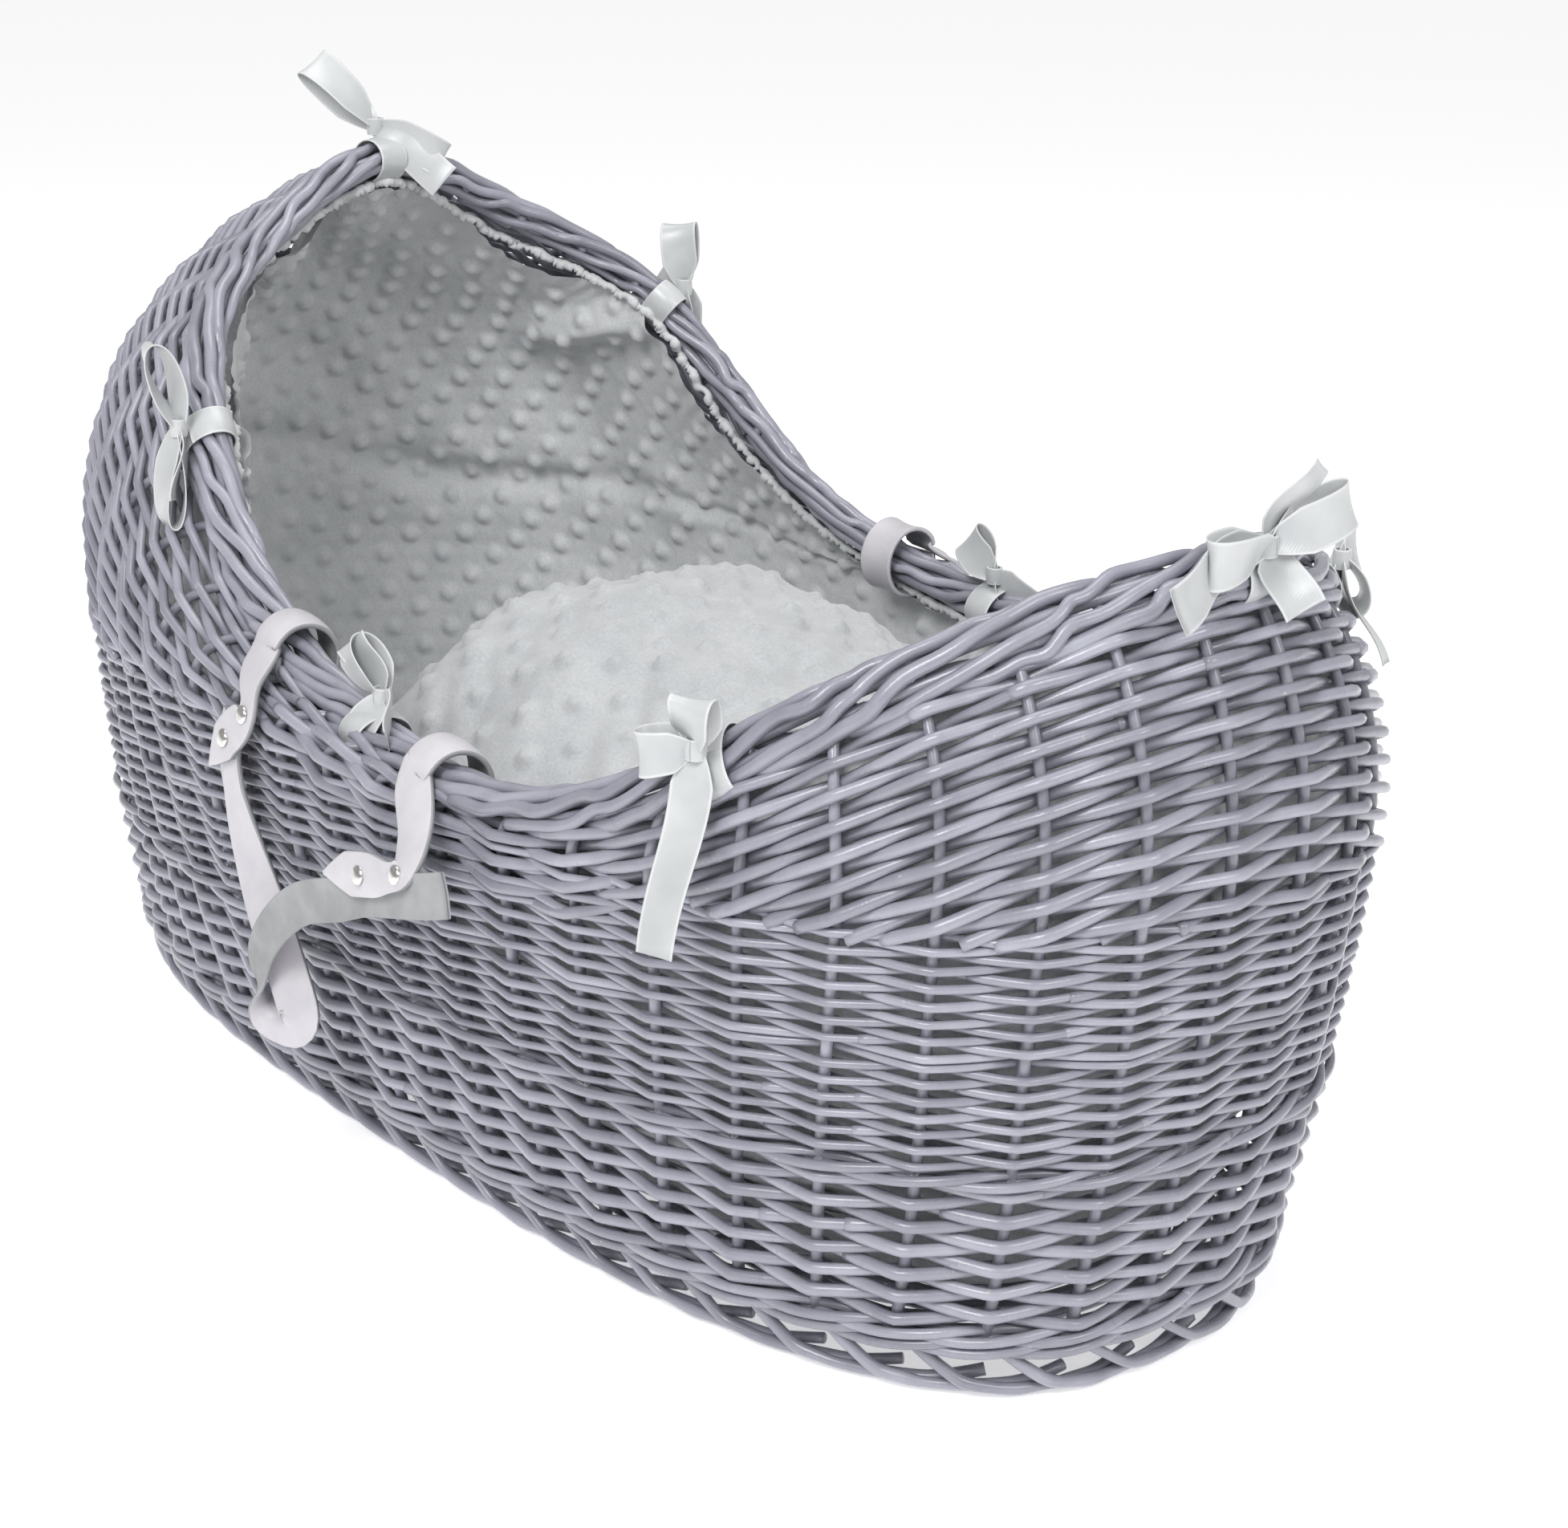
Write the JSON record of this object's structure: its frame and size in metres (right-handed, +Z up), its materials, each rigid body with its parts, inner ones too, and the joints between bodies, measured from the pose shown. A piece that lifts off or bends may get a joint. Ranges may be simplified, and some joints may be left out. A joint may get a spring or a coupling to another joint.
{
  "type": "moses basket",
  "caption": "Oval wicker moses basket with a hood, a raised foot end, strap handles, dimpled plush bedding and ribbon bows.",
  "frame": {"origin": "on the floor plane, under the middle of the basket's belly", "axes": "+X along the basket from the hood to the foot end, +Y to the far side, +Z up"},
  "size_m": [0.8479, 0.4918, 0.5397],
  "materials": {
    "painted_willow": "painted willow, satin gloss",
    "strap_leather": "smooth off-white leather with a grey suede back",
    "rivet_metal": "nickel plated",
    "satin_ribbon": "satin with a stitched edge",
    "liner_plush": "dimpled short-pile plush",
    "coverlet_plush": "dimpled short-pile plush",
    "mattress_foam": "foam",
    "mattress_cotton": "cotton"
  },
  "bodies": {
    "basket": {"foot_ring": "painted_willow", "foot_legs": "painted_willow", "bottom_wale": "painted_willow", "lower_wall_weave": "painted_willow", "second_wale": "painted_willow", "upper_wall_weave": "painted_willow", "shoulder_wale": "painted_willow", "foot_end_weave": "painted_willow", "far_side_weave": "painted_willow", "hood_weave": "painted_willow", "near_side_weave": "painted_willow", "stakes": "painted_willow", "rim_border": "painted_willow", "base_weave": "painted_willow", "base_sticks": "painted_willow", "mattress_core": "mattress_foam", "mattress_cover": "mattress_cotton", "liner_lower_band": "liner_plush", "liner_foot_far": "liner_plush", "liner_hood": "liner_plush", "liner_foot_near": "liner_plush", "liner_hem": "liner_plush", "coverlet_tucked_end": "coverlet_plush", "ribbon_bow_hood_top": "satin_ribbon", "ribbon_bow_hood_near": "satin_ribbon", "ribbon_bow_hood_far": "satin_ribbon", "ribbon_bow_side_near": "satin_ribbon", "ribbon_bow_side_far": "satin_ribbon", "ribbon_bow_foot_near": "satin_ribbon", "ribbon_bow_foot_far": "satin_ribbon", "ribbon_bow_foot_end": "satin_ribbon"},
    "near_handle": {"near_handle_strap": "strap_leather", "near_handle_rivets": "rivet_metal"},
    "far_handle": {"far_handle_strap": "strap_leather", "far_handle_rivets": "rivet_metal"},
    "coverlet": {"coverlet_top": "coverlet_plush"}
  },
  "joints": [
    {"name": "near_handle_swing", "type": "hinge", "parent": "basket", "child": "near_handle", "pos_m": [-0.05229, -0.18439, 0.26548], "axis": [-0.9867, 0.0901, 0.1356], "range_deg": [0, 180]},
    {"name": "far_handle_swing", "type": "hinge", "parent": "basket", "child": "far_handle", "pos_m": [-0.02691, 0.18727, 0.25797], "axis": [0.993, 0.0843, -0.0827], "range_deg": [0, 180]},
    {"name": "coverlet_turn_back", "type": "hinge", "parent": "basket", "child": "coverlet", "pos_m": [0.20025, 0, 0.24229], "axis": [0, 1, 0], "range_deg": [0, 70]}
  ]
}
